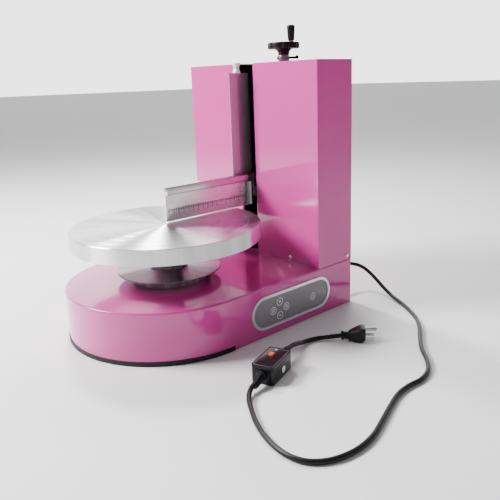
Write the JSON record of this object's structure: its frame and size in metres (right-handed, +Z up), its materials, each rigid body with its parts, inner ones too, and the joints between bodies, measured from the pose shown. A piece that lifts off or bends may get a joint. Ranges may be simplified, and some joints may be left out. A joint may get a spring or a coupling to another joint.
{
  "type": "cake cream spreading machine",
  "caption": "Electric cake icing machine: motor turntable, levelling blade raised by a handwheel, sliding side blade, key panel and mains lead with an inline safety switch.",
  "frame": {"origin": "centre of the machine's footprint on the table top, without the lead", "axes": "+X towards the control panel's side, -Y towards the rounded front, +Z up"},
  "size_m": [0.6097, 0.5081, 0.475],
  "materials": {
    "pink_paint": "glossy powder coat",
    "black_paint": "satin",
    "zinc_steel": "zinc plated",
    "black_rubber": "matte",
    "screw_steel": "bright",
    "machined_steel": "ground",
    "cast_aluminium": "machined",
    "turned_aluminium": "fine turned",
    "bright_trim": "satin silver",
    "panel_grey": "fine grained film",
    "circuit_board": "solder mask",
    "blade_steel": "polished",
    "nut_brass": "turned",
    "black_plastic": "satin moulded",
    "white_plastic": "gloss",
    "lead_black": "soft vinyl",
    "switch_black": "moulded",
    "orange_plastic": "gloss",
    "green_lens": "clear lens",
    "pin_metal": "nickel plated"
  },
  "bodies": {
    "machine": {"base_shell": "pink_paint", "base_plate": "zinc_steel", "front_skid": "black_rubber", "rear_feet": "black_rubber", "countersunk_screws": "screw_steel", "left_column": "pink_paint", "right_column": "pink_paint", "pan_screws": "screw_steel", "back_cover": "pink_paint", "slide_frame": "black_paint", "bearing_blocks": "cast_aluminium", "guide_rods": "machined_steel", "panel_bezel": "bright_trim", "panel_face": "panel_grey", "control_board": "circuit_board", "power_supply": "zinc_steel", "drive_motor": "zinc_steel", "motor_bracket": "zinc_steel", "drive_belt": "black_rubber", "spindle_housing": "cast_aluminium", "bearing_outer_rings": "machined_steel", "lock_collar": "cast_aluminium", "cable_gland": "lead_black", "mains_lead": "lead_black", "switch_body": "switch_black", "switch_lid": "switch_black", "indicator_lens": "green_lens", "switch_reliefs": "lead_black", "plug_lead": "lead_black", "plug_body": "lead_black", "plug_pins": "pin_metal"},
    "turntable": {"cake_plate": "turned_aluminium", "plate_adapter": "turned_aluminium", "small_plate": "turned_aluminium", "collar_ring": "turned_aluminium", "spindle": "machined_steel", "bearing_inner_rings": "machined_steel", "spindle_pulley": "cast_aluminium"},
    "motor_rotor": {"motor_shaft": "machined_steel", "motor_pulley": "cast_aluminium"},
    "arm": {"arm_bar": "blade_steel", "arm_tongue": "blade_steel", "level_blade": "blade_steel", "blade_clamp": "blade_steel", "carriage": "cast_aluminium", "lead_nut": "nut_brass"},
    "screw": {"lead_screw": "machined_steel", "handwheel": "black_plastic", "handle_pin": "screw_steel"},
    "grip": {"handle_grip": "black_plastic"},
    "lever": {"lock_lever": "black_plastic"},
    "side_scraper": {"side_blade": "blade_steel", "side_knob": "white_plastic", "side_carrier": "black_paint"},
    "mode_key": {"key_mode": "panel_grey"},
    "faster_key": {"key_faster": "panel_grey"},
    "slower_key": {"key_slower": "panel_grey"},
    "start_key": {"key_start": "panel_grey"},
    "power_key": {"key_power": "panel_grey"},
    "reset": {"reset_button": "orange_plastic"}
  },
  "joints": [
    {"name": "turntable_spin", "type": "hinge", "parent": "machine", "child": "turntable", "pos_m": [0, -0.053, 0.1], "axis": [0, 0, 1], "continuous": true},
    {"name": "motor_spin", "type": "hinge", "parent": "machine", "child": "motor_rotor", "pos_m": [0.08, 0.04, 0.03], "axis": [0, 0, 1], "continuous": true},
    {"name": "arm_lift", "type": "slide", "parent": "machine", "child": "arm", "axis": [0, 0, 1], "range_m": [0, 0.17]},
    {"name": "screw_turn", "type": "hinge", "parent": "machine", "child": "screw", "pos_m": [0.048, 0.176, 0.4], "axis": [0, 0, 1], "range_deg": [-7660, 0]},
    {"name": "grip_spin", "type": "hinge", "parent": "screw", "child": "grip", "pos_m": [0.066, 0.176, 0.46], "axis": [0, 0, 1], "continuous": true},
    {"name": "lock_turn", "type": "hinge", "parent": "machine", "child": "lever", "pos_m": [0.048, 0.176, 0.423], "axis": [0.6756, 0.7373, 0], "range_deg": [0, 180]},
    {"name": "side_reach", "type": "slide", "parent": "machine", "child": "side_scraper", "axis": [0, -1, 0], "range_m": [0, 0.045]},
    {"name": "mode_press", "type": "slide", "parent": "machine", "child": "mode_key", "axis": [-1, 0, 0], "range_m": [0, 0.0004], "stiffness_N_per_m": 3000, "springref_m": -0.0002},
    {"name": "faster_press", "type": "slide", "parent": "machine", "child": "faster_key", "axis": [-1, 0, 0], "range_m": [0, 0.0004], "stiffness_N_per_m": 3000, "springref_m": -0.0002},
    {"name": "slower_press", "type": "slide", "parent": "machine", "child": "slower_key", "axis": [-1, 0, 0], "range_m": [0, 0.0004], "stiffness_N_per_m": 3000, "springref_m": -0.0002},
    {"name": "start_press", "type": "slide", "parent": "machine", "child": "start_key", "axis": [-1, 0, 0], "range_m": [0, 0.0004], "stiffness_N_per_m": 3000, "springref_m": -0.0002},
    {"name": "power_press", "type": "slide", "parent": "machine", "child": "power_key", "axis": [-1, 0, 0], "range_m": [0, 0.0004], "stiffness_N_per_m": 3000, "springref_m": -0.0002},
    {"name": "reset_press", "type": "slide", "parent": "machine", "child": "reset", "axis": [0, 0, -1], "range_m": [0, 0.002], "stiffness_N_per_m": 600, "springref_m": -0.001}
  ],
  "couplings": [
    {"joint": "motor_spin", "follows": "turntable_spin", "ratio": 3},
    {"joint": "screw_turn", "follows": "arm_lift", "rad_per_m": -785.4}
  ]
}
